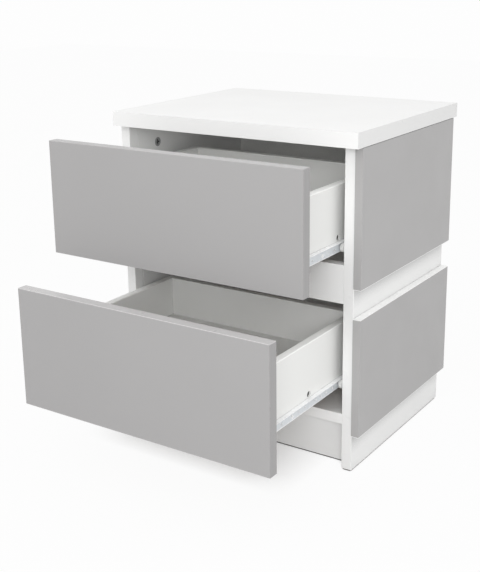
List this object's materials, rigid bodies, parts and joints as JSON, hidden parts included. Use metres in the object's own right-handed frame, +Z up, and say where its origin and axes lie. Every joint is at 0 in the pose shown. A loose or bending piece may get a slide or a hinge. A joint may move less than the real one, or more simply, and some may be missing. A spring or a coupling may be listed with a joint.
{
  "type": "nightstand",
  "caption": "Bedside cabinet with a wide flat top, handle-less drawers on roller runners, shown drawn out, an open finger gap, a recessed plinth and boards clad on its right side",
  "frame": {"origin": "on the floor, under the middle of the overall size with the drawers drawn out as stored", "axes": "+Z up, -Y is the front that the drawers open towards, +X to the right seen from the front"},
  "size_m": [0.423, 0.56, 0.504],
  "materials": {
    "white_board": "white melamine-faced chipboard, satin, with matching edge band",
    "grey_board": "grey melamine-faced chipboard, satin, with a lighter edge band",
    "drawer_board": "white foil-wrapped chipboard, matte",
    "fibreboard": "thin fibreboard with a pale lacquered face",
    "coated_steel": "white epoxy-coated rolled steel",
    "roller_plastic": "white moulded nylon",
    "lock_plastic": "dark moulded plastic",
    "cast_zinc": "die-cast zinc, dull",
    "steel_fastener": "bright zinc-plated steel",
    "beech": "fluted beech, bare",
    "glide_plastic": "moulded white plastic"
  },
  "bodies": {
    "carcass": {"top_panel": "white_board", "left_side_panel": "white_board", "right_side_panel": "white_board", "bottom_panel": "white_board", "middle_rail": "white_board", "plinth": "white_board", "rear_rail": "white_board", "back_panel": "fibreboard", "upper_side_cladding": "grey_board", "lower_side_cladding": "grey_board", "upper_left_cabinet_runner": "coated_steel", "upper_right_cabinet_runner": "coated_steel", "lower_left_cabinet_runner": "coated_steel", "lower_right_cabinet_runner": "coated_steel", "carcass_cam_locks": "cast_zinc", "carcass_cam_bolts": "steel_fastener", "carcass_dowels": "beech", "cladding_screws": "steel_fastener", "cabinet_runner_screws": "steel_fastener", "back_nails": "steel_fastener", "floor_glides": "glide_plastic"},
    "upper_drawer": {"upper_drawer_front": "grey_board", "upper_drawer_left_side": "drawer_board", "upper_drawer_right_side": "drawer_board", "upper_drawer_back": "drawer_board", "upper_drawer_bottom": "fibreboard", "upper_drawer_left_runner": "coated_steel", "upper_drawer_right_runner": "coated_steel", "upper_drawer_cam_locks": "cast_zinc", "upper_drawer_cam_bolts": "steel_fastener", "upper_drawer_dowels": "beech", "upper_drawer_back_screws": "steel_fastener", "upper_drawer_runner_screws": "steel_fastener", "upper_drawer_bottom_nails": "steel_fastener", "upper_drawer_bottom_locks": "lock_plastic"},
    "lower_drawer": {"lower_drawer_front": "grey_board", "lower_drawer_left_side": "drawer_board", "lower_drawer_right_side": "drawer_board", "lower_drawer_back": "drawer_board", "lower_drawer_bottom": "fibreboard", "lower_drawer_left_runner": "coated_steel", "lower_drawer_right_runner": "coated_steel", "lower_drawer_cam_locks": "cast_zinc", "lower_drawer_cam_bolts": "steel_fastener", "lower_drawer_dowels": "beech", "lower_drawer_back_screws": "steel_fastener", "lower_drawer_runner_screws": "steel_fastener", "lower_drawer_bottom_nails": "steel_fastener", "lower_drawer_bottom_locks": "lock_plastic"},
    "upper_left_front_roller_body": {"upper_left_front_roller": "roller_plastic"},
    "upper_left_rear_roller_body": {"upper_left_rear_roller": "roller_plastic"},
    "upper_right_front_roller_body": {"upper_right_front_roller": "roller_plastic"},
    "upper_right_rear_roller_body": {"upper_right_rear_roller": "roller_plastic"},
    "lower_left_front_roller_body": {"lower_left_front_roller": "roller_plastic"},
    "lower_left_rear_roller_body": {"lower_left_rear_roller": "roller_plastic"},
    "lower_right_front_roller_body": {"lower_right_front_roller": "roller_plastic"},
    "lower_right_rear_roller_body": {"lower_right_rear_roller": "roller_plastic"}
  },
  "joints": [
    {"name": "upper_drawer_slide", "type": "slide", "parent": "carcass", "child": "upper_drawer", "axis": [0, -1, 0], "range_m": [-0.142, 0.086]},
    {"name": "lower_drawer_slide", "type": "slide", "parent": "carcass", "child": "lower_drawer", "axis": [0, -1, 0], "range_m": [-0.222, 0.006]},
    {"name": "upper_left_front_roller_spin", "type": "hinge", "parent": "carcass", "child": "upper_left_front_roller_body", "pos_m": [-0.1886, -0.027, 0.3358], "axis": [1, 0, 0], "range_deg": [-1092, 664]},
    {"name": "upper_left_rear_roller_spin", "type": "hinge", "parent": "upper_drawer", "child": "upper_left_rear_roller_body", "pos_m": [-0.1886, 0.102, 0.3358], "axis": [1, 0, 0], "range_deg": [-1092, 664]},
    {"name": "upper_right_front_roller_spin", "type": "hinge", "parent": "carcass", "child": "upper_right_front_roller_body", "pos_m": [0.1756, -0.027, 0.3358], "axis": [1, 0, 0], "range_deg": [-1092, 664]},
    {"name": "upper_right_rear_roller_spin", "type": "hinge", "parent": "upper_drawer", "child": "upper_right_rear_roller_body", "pos_m": [0.1756, 0.102, 0.3358], "axis": [1, 0, 0], "range_deg": [-1092, 664]},
    {"name": "lower_left_front_roller_spin", "type": "hinge", "parent": "carcass", "child": "lower_left_front_roller_body", "pos_m": [-0.1886, -0.027, 0.1298], "axis": [1, 0, 0], "range_deg": [-1703, 53]},
    {"name": "lower_left_rear_roller_spin", "type": "hinge", "parent": "lower_drawer", "child": "lower_left_rear_roller_body", "pos_m": [-0.1886, 0.022, 0.1298], "axis": [1, 0, 0], "range_deg": [-1703, 53]},
    {"name": "lower_right_front_roller_spin", "type": "hinge", "parent": "carcass", "child": "lower_right_front_roller_body", "pos_m": [0.1756, -0.027, 0.1298], "axis": [1, 0, 0], "range_deg": [-1703, 53]},
    {"name": "lower_right_rear_roller_spin", "type": "hinge", "parent": "lower_drawer", "child": "lower_right_rear_roller_body", "pos_m": [0.1756, 0.022, 0.1298], "axis": [1, 0, 0], "range_deg": [-1703, 53]}
  ],
  "couplings": [
    {"joint": "upper_left_front_roller_spin", "follows": "upper_drawer_slide", "rad_per_m": 133.33},
    {"joint": "upper_left_rear_roller_spin", "follows": "upper_drawer_slide", "rad_per_m": 133.33},
    {"joint": "upper_right_front_roller_spin", "follows": "upper_drawer_slide", "rad_per_m": 133.33},
    {"joint": "upper_right_rear_roller_spin", "follows": "upper_drawer_slide", "rad_per_m": 133.33},
    {"joint": "lower_left_front_roller_spin", "follows": "lower_drawer_slide", "rad_per_m": 133.33},
    {"joint": "lower_left_rear_roller_spin", "follows": "lower_drawer_slide", "rad_per_m": 133.33},
    {"joint": "lower_right_front_roller_spin", "follows": "lower_drawer_slide", "rad_per_m": 133.33},
    {"joint": "lower_right_rear_roller_spin", "follows": "lower_drawer_slide", "rad_per_m": 133.33}
  ]
}
